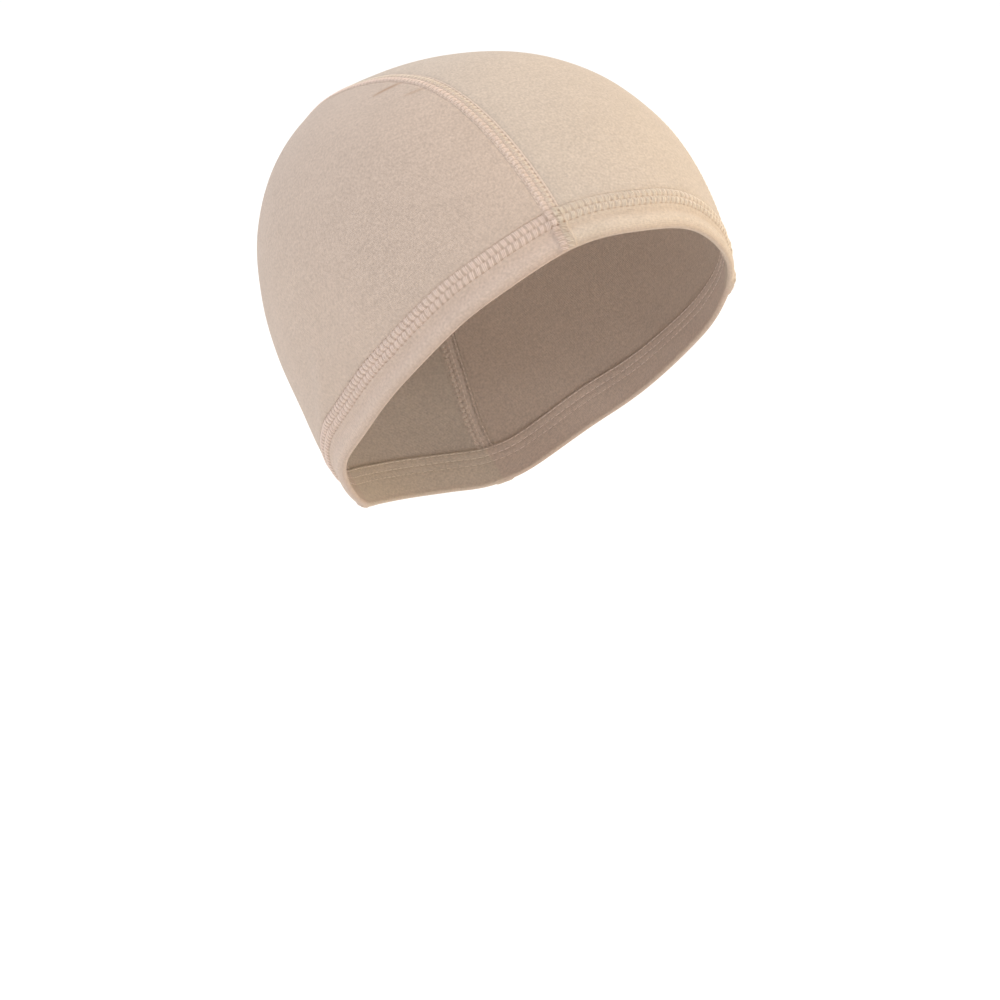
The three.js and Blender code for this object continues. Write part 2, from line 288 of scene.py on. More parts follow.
# Seam and hem sizes that the panels' edges follow: half a seam's width, the hem's height, the length
# of a stitch in the hem and in a seam, then where a panel's edges lie: their distance from a seam's
# middle line and from the hem's upper edge
SEAM_HALF = 3.1
HEM_HEIGHT = 15.7
STITCH = 2.6
SEAM_STITCH = 2.05
UNDER_SEAM = 2.2
UNDER_HEM = 0.8

rim_stations = np.linspace(-math.pi, math.pi, 2161)
rim_points = above_hem(rim_stations, np.full(rim_stations.shape, HEM_HEIGHT))
rim_lengths = np.concatenate([[0], np.cumsum(np.linalg.norm(np.diff(rim_points, axis=0), axis=-1))])
HEM_STITCHES = round(rim_lengths[-1] / STITCH)
rim_counts = rim_lengths / rim_lengths[-1] * HEM_STITCHES


def nearest(points, table):
    """For each point, its nearest sample in a line's table."""
    tree = kdtree.KDTree(len(table))
    for i, spot in enumerate(table):
        tree.insert(spot, i)
    tree.balance()
    flat = points.reshape(-1, 3)
    found = np.array([tree.find(spot)[1] for spot in flat])
    return found.reshape(points.shape[:-1])


def place_by_line(points, places, table):
    """Each point's place along a line and its distance to the left of the line's way."""
    i = np.clip(nearest(points, table), 1, len(table) - 2)
    run = table[i + 1] - table[i - 1]
    offset = points - table[i]
    share = (offset * run).sum(-1) / (run * run).sum(-1)
    place = places[i] + share * (places[i + 1] - places[i - 1])
    across = unit(np.cross(outward(table[i]), run))
    return place, (offset * across).sum(-1)


# How deep the cloth is tucked in under the stitching, from how far beside it, and over what width
TUCK_DEPTH, TUCK_START, TUCK_WIDTH = 0.5, 0.15, 0.6
# Height of the puckers and how far they reach, then each swell's height, distance and spread
BESIDE_SEAM = (0.07, 1.5, ((-0.12, 0.3, 0.6), (0.1, 1.9, 1.0)))
ABOVE_HEM = (0.08, 1.8, ((0.12, 1.8, 1.2),))


def drawn_in(count, away, pucker, reach, swells):
    """How stitching draws in the cloth beside it, with a small pucker at each stitch."""
    height = pucker * np.exp(-np.clip(away, 0, None) / reach) * np.cos(2 * math.pi * count)
    height -= TUCK_DEPTH * smooth((TUCK_START - away) / TUCK_WIDTH)
    for rise, distance, spread in swells:
        height += rise * bell(away - distance, spread)
    return height


def panel_height(points):
    """The height of the panels' cloth over the plain form, along the seams and the hem."""
    count, above = place_by_line(points, rim_counts, rim_points)
    height = drawn_in(count, above, *ABOVE_HEM)
    for side in (RIGHT, LEFT):
        length, left = place_by_line(points, *seam_tables[side])
        height += drawn_in(length / SEAM_STITCH, np.abs(left) - SEAM_HALF, *BESIDE_SEAM)
    return height


def grid_faces(rows, columns, closed=False):
    i, j = np.meshgrid(np.arange(rows - (0 if closed else 1)), np.arange(columns - 1), indexing="ij")
    beyond = (i + 1) % rows
    corners = [i * columns + j, i * columns + j + 1, beyond * columns + j + 1, beyond * columns + j]
    return np.stack(corners, -1).reshape(-1, 4)


def cloth_piece(name, points, faces, grain, values=None):
    """A mesh from points in millimetres round the hollow's middle, with its UV map and attributes."""
    mesh = bpy.data.meshes.new(name)
    mesh.from_pydata(((points + MIDDLE) * 0.001).tolist(), [], [list(face) for face in faces])
    corner = np.zeros(len(mesh.loops), np.int32)
    mesh.loops.foreach_get("vertex_index", corner)
    layer = mesh.uv_layers.new(name="grain")
    layer.data.foreach_set("uv", grain[corner].astype(np.float32).ravel())
    for title, numbers in (values or {}).items():
        attribute = mesh.attributes.new(title, "FLOAT", "POINT")
        attribute.data.foreach_set("value", np.asarray(numbers, np.float32).ravel())
    piece = bpy.data.objects.new(name, mesh)
    bpy.context.scene.collection.objects.link(piece)
    return piece


MERGE_DISTANCE = 2e-6
SHORTEST_EDGE = 1e-6


def close_cloth(piece, thickness):
    """Merges shared corners, turns the sheet outward and gives it its thickness."""
    work = bmesh.new()
    work.from_mesh(piece.data)
    bmesh.ops.remove_doubles(work, verts=work.verts, dist=MERGE_DISTANCE)
    bmesh.ops.dissolve_degenerate(work, edges=work.edges, dist=SHORTEST_EDGE)
    middle = Vector(MIDDLE * 0.001)
    outside = sum(face.normal.dot(face.calc_center_median() - middle) > 0 for face in work.faces)
    if outside < len(work.faces) / 2:
        bmesh.ops.reverse_faces(work, faces=work.faces)
    work.to_mesh(piece.data)
    work.free()
    outer_count = len(piece.data.vertices)
    bpy.context.view_layer.objects.active = piece
    wall = piece.modifiers.new("wall", "SOLIDIFY")
    wall.thickness = thickness * 0.001
    wall.offset = -1
    bpy.ops.object.modifier_apply(modifier=wall.name)
    # The crease attribute's painted shade stays on the outer face only.
    crease = piece.data.attributes["crease"].data
    depth = np.zeros(len(crease), np.float32)
    crease.foreach_get("value", depth)
    depth[outer_count:] = 0
    crease.foreach_set("value", depth)
    piece.data.polygons.foreach_set("use_smooth", [True] * len(piece.data.polygons))


def wire(tree, kind, settings, inputs):
    """Adds a node, sets or links its inputs and returns its first output."""
    made = tree.nodes.new(kind)
    for name, value in settings.items():
        setattr(made, name, value)
    for name, value in inputs.items():
        if isinstance(value, bpy.types.NodeSocket):
            tree.links.new(value, made.inputs[name])
        else:
            made.inputs[name].default_value = value
    return made.outputs[0]


def maths(tree, operation, first, second=0.0):
    return wire(tree, "ShaderNodeMath", {"operation": operation}, {0: first, 1: second})


def measure(tree, operation, first, second):
    """The number that two vectors give."""
    vectors = wire(tree, "ShaderNodeVectorMath", {"operation": operation}, {0: first, 1: second})
    return vectors.node.outputs["Value"]


def stored(tree, title):
    """The value of one of the mesh's attributes."""
    return wire(tree, "ShaderNodeAttribute", {"attribute_name": title}, {}).node.outputs["Fac"]


def noise(tree, vector, scale, detail):
    return wire(tree, "ShaderNodeTexNoise", {}, {"Vector": vector, "Scale": scale, "Detail": detail})


def blend(tree, share, first, second):
    """A mix of two colours."""
    made = tree.nodes.new("ShaderNodeMix")
    made.data_type = "RGBA"
    for socket, value in ((0, share), (6, first), (7, second)):
        if isinstance(value, bpy.types.NodeSocket):
            tree.links.new(value, made.inputs[socket])
        else:
            made.inputs[socket].default_value = value
    return made.outputs[2]


def shaded(colour, share):
    return (*(min(1.0, part * share) for part in colour), 1.0)


def fibre_material(name):
    """A new material with its tree, the mesh's grain, across and along apart, and the place on it."""
    material = bpy.data.materials.new(name)
    material.use_nodes = True
    tree = material.node_tree
    tree.nodes.clear()
    grain = wire(tree, "ShaderNodeUVMap", {"uv_map": "grain"}, {})
    split = wire(tree, "ShaderNodeSeparateXYZ", {}, {0: grain}).node
    place = tree.nodes.new("ShaderNodeTexCoord").outputs["Object"]
    return material, tree, grain, split.outputs[0], split.outputs[1], place


def finish_material(tree, inputs):
    """Adds the shader with its inputs and joins it to the material's output."""
    shader = wire(tree, "ShaderNodeBsdfPrincipled", {}, inputs)
    output = tree.nodes.new("ShaderNodeOutputMaterial")
    tree.links.new(shader, output.inputs["Surface"])


def crease_share(tree, place, start, end, spread):
    """One along the middle of a short crease in the cloth, fading to zero beside it and at its ends."""
    ends = [(skin(direction(*np.radians(spot))) + MIDDLE) * 0.001 for spot in (start, end)]
    run = ends[1] - ends[0]
    offset = wire(tree, "ShaderNodeVectorMath", {"operation": "SUBTRACT"}, {0: place, 1: ends[0]})
    share = maths(tree, "MULTIPLY", measure(tree, "DOT_PRODUCT", offset, run), 1 / float(run @ run))
    share = maths(tree, "MAXIMUM", maths(tree, "MINIMUM", share, 1.0), 0.0)
    nearby = wire(tree, "ShaderNodeVectorMath", {"operation": "SCALE"}, {0: run, "Scale": share})
    away = measure(tree, "DISTANCE", offset, nearby)
    near = wire(
        tree, "ShaderNodeMapRange", {"interpolation_type": "SMOOTHSTEP"},
        {"Value": away, "From Max": spread * 0.001, "To Min": 1.0, "To Max": 0.0},
    )
    taper = maths(tree, "MULTIPLY", share, maths(tree, "SUBTRACT", 1.0, share))
    taper = maths(tree, "POWER", maths(tree, "MULTIPLY", taper, 4.0), 0.5)
    return maths(tree, "MULTIPLY", near, taper)


# The knit: width of a column and height of a row of stitches, and how far the tone leaves the colour
WALE = 0.62
COURSE = 0.5
DARKER, LIGHTER = 0.86, 1.14


def jersey(name, colour, deep, streak, side_colour=None, creases=()):
    """Fine knitted jersey: columns of small V stitches, faint streaks along the grain and a soft nap."""
    material, tree, grain, across, lengthways, place = fibre_material(name)
    wander = noise(tree, place, 160.0, 1.0)
    across = maths(tree, "ADD", across, maths(tree, "MULTIPLY", wander, 0.9))
    cell = maths(tree, "FRACT", maths(tree, "MULTIPLY", across, 1 / WALE))
    lean = maths(tree, "ABSOLUTE", maths(tree, "SUBTRACT", cell, 0.5))
    rib = maths(tree, "COSINE", maths(tree, "MULTIPLY", lean, math.pi))
    row = maths(tree, "ADD", maths(tree, "MULTIPLY", lengthways, 1 / COURSE), lean)
    loop = maths(tree, "SINE", maths(tree, "MULTIPLY", row, 2 * math.pi))
    knit = maths(tree, "MULTIPLY", rib, maths(tree, "ADD", maths(tree, "MULTIPLY", loop, 0.3), 0.8))
    drawn = wire(tree, "ShaderNodeMapping", {}, {"Vector": grain, "Scale": (0.55, 0.045, 1.0)})
    streaks = noise(tree, drawn, 1.0, 4.0)
    speck = noise(tree, place, 1150.0, 2.0)
    cloud = noise(tree, place, 42.0, 3.0)
    tone = maths(tree, "MULTIPLY", streaks, streak)
    tone = maths(tree, "ADD", tone, maths(tree, "MULTIPLY", speck, 2.3))
    tone = maths(tree, "ADD", tone, maths(tree, "MULTIPLY", cloud, 0.4))
    tone = maths(tree, "SUBTRACT", tone, 0.85 + streak * 0.5)
    face = blend(tree, tone, shaded(colour, DARKER), shaded(colour, LIGHTER))
    if side_colour:
        other = blend(tree, tone, shaded(side_colour, DARKER), shaded(side_colour, LIGHTER))
        face = blend(tree, stored(tree, "side"), face, other)
    # Painted shade: the hollows between the knit's stitches are darkened toward the shade colour.
    hollow = maths(tree, "MULTIPLY", maths(tree, "SUBTRACT", 1.0, knit), 0.16)
    face = blend(tree, hollow, face, shaded(deep, 1.0))
    # Painted shade from the mesh's crease attribute: the stitching's pits and gaps, the hem's groove and
    # its edge.
    face = blend(tree, stored(tree, "crease"), face, shaded(deep, 1.0))
    # Painted shade along each listed crease in the cloth.
    for start, end, spread, depth in creases:
        share = crease_share(tree, place, start, end, spread)
        face = blend(tree, maths(tree, "MULTIPLY", share, depth), face, shaded(deep, 1.0))
    bump = wire(tree, "ShaderNodeBump", {}, {"Height": knit, "Strength": 0.45, "Distance": 0.00022})
    nap = noise(tree, place, 700.0, 4.0)
    bump = wire(
        tree, "ShaderNodeBump", {},
        {"Height": nap, "Strength": 0.35, "Distance": 0.0004, "Normal": bump},
    )
    rough = maths(tree, "ADD", maths(tree, "MULTIPLY", speck, 0.12), 0.8)
    finish_material(tree, {
        "Base Color": face, "Normal": bump, "Roughness": rough, "Specular IOR Level": 0.25,
        "Sheen Weight": 0.22, "Sheen Roughness": 0.45, "Sheen Tint": (1.0, 0.93, 0.86, 1.0),
    })
    return material


def dress(piece, material, body="root"):
    piece.data.materials.clear()
    piece.data.materials.append(material)
    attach(piece, body)


CENTRE_ALONG, CENTRE_ACROSS = 300, 62
# The colour that the panels' painted shade darkens the cloth toward
DEEP_SHADE = (0.36, 0.22, 0.14)
CENTRE_COLOUR = (0.55, 0.468, 0.398)
foot = HEM_HEIGHT - UNDER_HEM
foot_places, foot_stations, _ = rim(foot)


def seam_edge(side, offset, count):
    """One edge of a panel under a seam, from the hem in front over to the hem at the back."""
    front, back = seam_ends(side, np.array([offset]), foot)
    lengths = np.linspace(front[0], back[0], count + 1)
    return seam_point(side, lengths, np.full(count + 1, offset))


def foot_azimuth(corner):
    return np.interp(azimuth_of(corner), foot_places, foot_stations)


def foot_point(azimuth):
    return above_hem(azimuth, 0 * azimuth + foot)


right_edge = seam_edge(RIGHT, -UNDER_SEAM, CENTRE_ALONG)
left_edge = seam_edge(LEFT, -UNDER_SEAM, CENTRE_ALONG)
across = np.linspace(0, 1, CENTRE_ACROSS + 1)
way = np.linspace(0, 1, CENTRE_ALONG + 1)[:, None, None]
between = across[None, :, None]
front_start = foot_azimuth(right_edge[0])
front_run = front_start + across * (foot_azimuth(left_edge[0]) - front_start)
back_start = foot_azimuth(right_edge[-1]) + 2 * math.pi
back_run = back_start + across * (foot_azimuth(left_edge[-1]) - back_start)
lines = right_edge[:, None] * (1 - between) + left_edge[:, None] * between
front_pull = foot_point(front_run) - lines[0]
back_pull = foot_point(back_run) - lines[-1]
centre_points = skin(lines + front_pull[None] * (1 - way) + back_pull[None] * way)
centre_points = centre_points + outward(centre_points) * panel_height(centre_points)[..., None]


CROWN_LENGTHWAYS, CROWN_SIDEWAYS = 93.0, 92.0


def crown_grain(points):
    """The grain of the centre panel: across the cap and along it, in millimetres."""
    radius = np.hypot(points[..., 1], points[..., 2])
    turn = np.arctan2(points[..., 2], -points[..., 1]) % (2 * math.pi)
    tilt = np.arctan2(points[..., 0], radius)
    return np.stack([turn * CROWN_LENGTHWAYS, tilt * CROWN_SIDEWAYS], -1)


flat_points = centre_points.reshape(-1, 3)
centre_cloth = cloth_piece(
    "centre_cloth", flat_points, grid_faces(*centre_points.shape[:2]), crown_grain(flat_points),
    {"crease": np.zeros(len(flat_points))},
)
close_cloth(centre_cloth, CLOTH)
dress(centre_cloth, jersey("centre_jersey", CENTRE_COLOUR, DEEP_SHADE, 0.5))
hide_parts("centre_panel")


# The side panels are cut from the same jersey as shaped pieces: each is sewn to the centre panel
# along its upper edge and closes to a point at the front and the back of the hem.
SIDE_ALONG, SIDE_ACROSS = 250, 92
SIDE_COLOUR = (0.548, 0.443, 0.371)
GRAIN_TILT = math.radians(38)
SIDE_RADIUS = 86.0


def side_grain(points):
    """The grain of a side panel, laid flat round the middle of the side and parallel to the hem."""
    aim = unit(points)
    reach = np.arccos(np.clip(np.abs(aim[..., 0]), 0, 1)) * SIDE_RADIUS
    turn = np.arctan2(aim[..., 2], -aim[..., 1]) - GRAIN_TILT
    return np.stack([reach * np.sin(turn), reach * np.cos(turn)], -1)


# Short creases beside the crown, drawn only as painted shade: azimuth and elevation of both ends, width,
# strength of the painted shade
SIDE_CREASES = (((-104.5, 58.2), (-98.5, 65.6), 1.9, 0.85), ((-86, 60.8), (-79, 65.2), 1.7, 0.4))
side_jersey = jersey("side_jersey", SIDE_COLOUR, DEEP_SHADE, 0.5, creases=SIDE_CREASES)
for side, name in SIDES:
    top = seam_edge(side, UNDER_SEAM, SIDE_ALONG)
    run = np.linspace(0, 1, SIDE_ALONG + 1)
    stations = foot_azimuth(top[0]) + run * (foot_azimuth(top[-1]) - foot_azimuth(top[0]))
    bottom = foot_point(stations)
    bottom[0], bottom[-1] = top[0], top[-1]
    down = np.linspace(0, 1, SIDE_ACROSS + 1)[None, :, None]
    side_points = skin(top[:, None] * (1 - down) + bottom[:, None] * down)
    side_points = side_points + outward(side_points) * panel_height(side_points)[..., None]
    flat_points = side_points.reshape(-1, 3)
    panel = cloth_piece(
        f"{name}_cloth", flat_points, grid_faces(*side_points.shape[:2]), side_grain(flat_points),
        {"crease": np.zeros(len(flat_points))},
    )
    close_cloth(panel, CLOTH)
    dress(panel, side_jersey)
    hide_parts(f"{name}_panel")


# The two seams join the panels edge over edge, under a raised flat band of coverstitch: three
# needle lines with two rows of looper thread between them, 6 mm wide in all.
SEAM_SLANT = 0.35
SEAM_THICKNESS = 1.5
# Each needle line's offset away from the centre panel, its phase, the length of its sunk gaps painted
# with shade, and its depth
SEAM_LINE_OFFSETS = (-2.15, 0.2, 2.75)
SEAM_LINE_PHASES = (0.0, 0.15, 0.45)
SEAM_LINE_DASHES = (0.5, 0.3, 0.4)
SEAM_LINE_DEPTHS = (0.26, 0.16, 0.22)
# Offset away from the centre panel, height over the cloth
SEAM_SECTION = np.array([
    [-3.45, -0.4], [-3.2, -0.1], [-2.8, 0.08], [-2.15, 0.12], [-1.5, 0.24], [-0.6, 0.24], [0.2, 0.14],
    [0.8, 0.26], [1.5, 0.38], [2.2, 0.34], [2.75, 0.2], [3.05, 0.2], [3.25, -0.05], [3.45, -0.4],
])
seam_section = along(SEAM_SECTION, 1)


def dashes(count, share):
    """One where a stitch's dark gap lies along a needle line, zero between two of them."""
    return 0.5 + 0.5 * np.tanh(3.0 * (np.cos(2 * math.pi * count) - math.cos(math.pi * share)))


# The pits along a needle line: how wide they and their painted shade are, how much of each is left
# between two stitches, and how deep a pit with full painted shade is
PIT_SPREAD, SHADE_SPREAD = 0.32, 0.3
DEPTH_BETWEEN, SHADE_BETWEEN = 0.35, 0.12
FULL_PIT = 0.3
# The gaps between two loops: how deep they are and how much shade is painted in them, and the share of a
# row in which they fade
GAP_DEPTH, GAP_SHADE, GAP_FADE = 0.06, 0.25, 0.12
# The strongest painted shade
STRONGEST_SHADE = 0.68


def needle_lines(count, offset, offsets, phases, lengths, depths, slant):
    """The pits of the needle lines and the gaps between their loops: their depth and painted shade."""
    drop = np.zeros(np.broadcast(count, offset).shape)
    dark = np.zeros(drop.shape)
    for place, phase, share, depth in zip(offsets, phases, lengths, depths):
        pulse = dashes(count + phase, share)
        away = offset - place
        drop += depth * (DEPTH_BETWEEN + (1 - DEPTH_BETWEEN) * pulse) * bell(away, PIT_SPREAD)
        shade = SHADE_BETWEEN + (1 - SHADE_BETWEEN) * pulse
        dark += shade * bell(away, SHADE_SPREAD) * depth / FULL_PIT
    for row in (0, 1):
        share = (offset - offsets[row]) / (offsets[row + 1] - offsets[row])
        loop = 0.5 - phases[row] + (phases[row] - phases[row + 1] + slant) * share
        gap = smooth(-1.3 * np.cos(2 * math.pi * (count - loop)) - 0.1)
        gap = gap * smooth(share / GAP_FADE) * smooth((1 - share) / GAP_FADE)
        drop += GAP_DEPTH * gap
        dark += GAP_SHADE * gap
    return drop, np.clip(dark, 0, 1) * STRONGEST_SHADE


LOOP_SWELL = 0.06


def seam_relief(length, offset, slant):
    count = length / SEAM_STITCH
    drop, dark = needle_lines(
        count, offset, SEAM_LINE_OFFSETS, SEAM_LINE_PHASES, SEAM_LINE_DASHES, SEAM_LINE_DEPTHS, slant
    )
    wave = LOOP_SWELL * np.cos(2 * math.pi * (count + 0.25 * offset)) * smooth(3.0 - np.abs(offset))
    return seam_section(offset) - drop + wave, dark


SEAM_SAMPLES = 6
SEAM_COLUMNS = np.concatenate([
    [-3.45, -3.3, -3.15, -2.9, -2.6, -2.4, -2.27, -2.15, -2.03, -1.85, -1.5, -1.0, -0.5, -0.1],
    [0.08, 0.2, 0.32, 0.6, 1.0, 1.4, 1.8, 2.2, 2.5, 2.66, 2.78, 2.9, 3.05, 3.15, 3.25, 3.35, 3.45],
])
SEAM_COLOUR = (0.62, 0.51, 0.435)
# The colour of the painted shade in the stitching's pits and gaps and on the hem
HOLE_SHADE = (0.36, 0.24, 0.17)
stitched_jersey = jersey("stitched_jersey", SEAM_COLOUR, HOLE_SHADE, 0.4)
# The seam's ends are tucked under the hem's upper edge, and bend down to it over a short way
SEAM_TUCK = 0.45
END_BLEND = 8
END_DROP, END_SLOPE = 0.55, 0.7
for side, name in SIDES:
    fronts, backs = seam_ends(side, SEAM_COLUMNS, HEM_HEIGHT - SEAM_TUCK)
    first, last = np.median(fronts), np.median(backs)
    rows = round((last - first) / SEAM_STITCH * SEAM_SAMPLES)
    lengths = np.linspace(first, last, rows + 1)[:, None]
    to_front, to_back = np.exp(-(lengths - first) / END_BLEND), np.exp(-(last - lengths) / END_BLEND)
    lengths = lengths + (fronts - first) * to_front + (backs - last) * to_back
    offsets = SEAM_COLUMNS[None, :] + 0 * lengths
    height, dark = seam_relief(lengths, offsets, -side * SEAM_SLANT)
    ends = np.minimum(lengths - fronts, backs - lengths)
    height = height - END_DROP * (1 - smooth(ends / END_SLOPE))
    base = seam_point(side, lengths, offsets)
    points = base + outward(base) * height[..., None]
    # The crease attribute carries the painted shade of the seam's needle lines and loop gaps.
    ribbon = cloth_piece(
        f"{name}_seam_cloth", points.reshape(-1, 3), grid_faces(*points.shape[:2]),
        np.stack([offsets.ravel(), lengths.ravel()], -1), {"crease": dark},
    )
    close_cloth(ribbon, SEAM_THICKNESS)
    dress(ribbon, stitched_jersey)
    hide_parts(f"seam_{name}")
    panel = bpy.data.objects[f"{name}_cloth"]


# The hem is the panels' own cloth, turned inward 15 mm round the opening and coverstitched from
# the inside: a free rolled edge below, then three needle lines with two rows of loops between them.
HEM_FREE = 9.5
HEM_LINE_DISTANCES = (9.5, 12.4, 15.4)
HEM_LINE_PHASES = (0.0, 0.06, 0.45)
HEM_LINE_DASHES = (0.5, 0.35, 0.45)
HEM_LINE_DEPTHS = (0.24, 0.22, 0.26)
HEM_SLANT = 0.35
# Heights over the plain form: the turned-in cloth's inner face, the fold's lowest line and its radius,
# the turned-in cloth's hidden end, and a seam that is folded into the hem, with its margin and slope
HEM_INNER = -1.9
FOLD_HEIGHT, FOLD_RADIUS = 0.3, 1.1
HEM_END_HEIGHT = -0.95
LAP_HEIGHT, LAP_MARGIN, LAP_SLOPE = 0.75, 0.5, 0.9
# Distance up from the edge, height over the cloth
HEM_SECTION = np.array([
    [0, 0.3], [1.1, 0.32], [2.2, 0.8], [3.2, 0.86], [4.2, 0.6], [5.2, 0.15], [6.2, -0.34],
    [7.2, -0.5], [8.2, -0.38], [9.0, -0.18], [9.5, -0.1], [10.3, 0.24], [11.0, 0.38], [11.8, 0.26],
    [12.4, 0.08], [13.1, 0.28], [13.9, 0.38], [14.7, 0.22], [15.4, -0.06], [15.6, -0.2], [15.8, -0.45],
])
hem_section = along(HEM_SECTION, 1)


def lap_height(points):
    """The seams that are folded into the hem raise it a little where they cross it, and add painted
    shade in their pits and gaps.
    """
    height = np.zeros(points.shape[:-1])
    dark = np.zeros(height.shape)
    for side in (RIGHT, LEFT):
        length, left = place_by_line(points, *seam_tables[side])
        offset = -side * left
        band = smooth((SEAM_HALF + LAP_MARGIN - np.abs(offset)) / LAP_SLOPE)
        height += LAP_HEIGHT * band
        drop, gap = needle_lines(
            length / SEAM_STITCH, offset, SEAM_LINE_OFFSETS, SEAM_LINE_PHASES, SEAM_LINE_DASHES,
            SEAM_LINE_DEPTHS, -side * SEAM_SLANT,
        )
        height -= drop
        dark += gap
    return height, np.clip(dark, 0, 1)


def side_share(points):
    """One where the hem is a side panel's cloth, zero where it is the centre panel's."""
    share = np.zeros(points.shape[:-1])
    for side in (RIGHT, LEFT):
        _, left = place_by_line(points, *seam_tables[side])
        share = np.maximum(share, smooth(0.5 - side * left / 1.2))
    return share


HEM_PUCKER, HEM_PUCKER_REACH = 0.07, 1.6


# The hem's relief and the painted shade of its needle lines' pits and loop gaps.
def hem_relief(count, distance):
    drop, dark = needle_lines(
        count, distance, HEM_LINE_DISTANCES, HEM_LINE_PHASES, HEM_LINE_DASHES, HEM_LINE_DEPTHS, HEM_SLANT
    )
    band = smooth((distance - HEM_FREE) / 0.8) * smooth((HEM_LINE_DISTANCES[-1] - distance) / 0.8)
    wave = LOOP_SWELL * band * np.cos(2 * math.pi * (count + 0.2 * distance))
    fading = np.exp(-np.clip(HEM_FREE - distance, 0, None) / HEM_PUCKER_REACH)
    pull = HEM_PUCKER * fading * (distance < HEM_FREE)
    wave = wave + pull * np.cos(2 * math.pi * count)
    return hem_section(distance) - drop + wave, dark


HEM_SAMPLES = 7
rows = HEM_STITCHES * HEM_SAMPLES
counts = np.arange(rows) * HEM_STITCHES / rows
stations = np.interp(counts, rim_counts, rim_stations)
outer_distances = np.array([
    15.8, 15.65, 15.52, 15.4, 15.28, 15.1, 14.8, 14.3, 13.8, 13.3, 12.85, 12.6, 12.4, 12.2, 11.95,
    11.5, 11.0, 10.5, 10.05, 9.8, 9.64, 9.5, 9.36, 9.2, 8.9, 8.3, 7.5, 6.7, 5.8, 4.9, 4.0, 3.1, 2.2,
])
turns = np.linspace(0, 1, 9) * math.pi
inner_distances = np.array([
    2.6, 4.5, 6.5, 8.7, 9.3, 9.5, 9.7, 10.9, 12.1, 12.4, 12.7, 13.9, 15.1, 15.4, 15.6, 16.1,
])
fold_distances = FOLD_RADIUS - FOLD_RADIUS * np.sin(turns)
distances = np.concatenate([outer_distances, fold_distances, inner_distances, [16.2]])
count_grid, distance_grid = np.broadcast_arrays(counts[:, None], distances[None, :])
base = above_hem(stations[:, None] + 0 * distance_grid, distance_grid)
normal = outward(base)
outer_height, dark = hem_relief(count_grid, distance_grid)
near_outer = len(outer_distances)
lap, lap_shade = lap_height(base)
fold_heights = FOLD_HEIGHT - FOLD_RADIUS + FOLD_RADIUS * np.cos(turns)
INNER_GROOVE, INNER_GROOVE_SPREAD = 0.12, 0.22
inner_groove = sum(bell(inner_distances - line, INNER_GROOVE_SPREAD) for line in HEM_LINE_DISTANCES)
inner_heights = HEM_INNER + INNER_GROOVE * inner_groove
height = np.zeros(base.shape[:-1])
height[:, :near_outer] = outer_height[:, :near_outer] + lap[:, :near_outer]
fold_share = (1 + np.cos(turns)) / 2
fold_part = slice(near_outer, near_outer + len(turns))
height[:, fold_part] = fold_heights + lap[:, fold_part] * fold_share
inner_part = slice(near_outer + len(turns), near_outer + len(turns) + len(inner_distances))
height[:, inner_part] = inner_heights
height[:, -1] = HEM_END_HEIGHT
side_part = side_share(base)
# Painted shade: darker in the groove above the rolled edge, more in front than at the sides, and darkest
# along the edge itself
GROOVE_SHADE, SIDE_GROOVE_LESS, GROOVE_MIDDLE, GROOVE_SPREAD = 0.2, 0.13, 7.6, 1.7
EDGE_SHADE, EDGE_SPREAD = 0.42, 1.5
groove_shade = GROOVE_SHADE - SIDE_GROOVE_LESS * side_part
groove_shade = groove_shade * bell(distance_grid - GROOVE_MIDDLE, GROOVE_SPREAD)
edge_shade = EDGE_SHADE * bell(distance_grid, EDGE_SPREAD)
outer = np.arange(len(distances)) < near_outer
# The hem's painted shade, kept on its outer face and carried by the crease attribute
dark = np.where(outer, np.clip(np.maximum(dark + lap_shade, groove_shade), 0, 1), 0)
dark = np.maximum(dark, edge_shade)
hem_points = base + normal * height[..., None]
loop_faces = grid_faces(rows, len(distances), closed=True)
last = len(distances) - 1
i = np.arange(rows)
beyond = (i + 1) % rows
near, far = i * len(distances), beyond * len(distances)
back_faces = np.stack([near + last, near, far, far + last], -1)
hem_faces = np.concatenate([loop_faces, back_faces])
hem_grain = np.stack([distance_grid.ravel(), (count_grid * STITCH).ravel()], -1)
hem_cloth = cloth_piece(
    "hem_cloth", hem_points.reshape(-1, 3), hem_faces, hem_grain, {"crease": dark, "side": side_part}
)


def face_outward(piece):
    """Turns the faces of a closed mesh outward and shades them smooth."""
    work = bmesh.new()
    work.from_mesh(piece.data)
    bmesh.ops.recalc_face_normals(work, faces=work.faces)
    work.to_mesh(piece.data)
    work.free()
    piece.data.polygons.foreach_set("use_smooth", [True] * len(piece.data.polygons))


face_outward(hem_cloth)
HEM_COLOUR = (0.6, 0.503, 0.414)
HEM_SIDE_COLOUR = (0.585, 0.467, 0.395)
hem_jersey = jersey("hem_jersey", HEM_COLOUR, HOLE_SHADE, 0.4, HEM_SIDE_COLOUR)
dress(hem_cloth, hem_jersey)
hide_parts("hem_band")


# The sewing thread is soft bulked polyester in the cloth's colour. Outside, three strands of looper
# thread slant across each row at every stitch; inside, each needle line is a row of stitches.
THREAD_RADIUS, HEM_THREAD_LIFT = 0.155, 0.14
SEAM_THREAD_RADIUS, SEAM_THREAD_LIFT = 0.125, 0.08
THREAD_SIDES = 5
STRANDS = (-1.0, 0.0, 1.0)
STRAND_SPREAD = 0.23
random = np.random.default_rng(11)


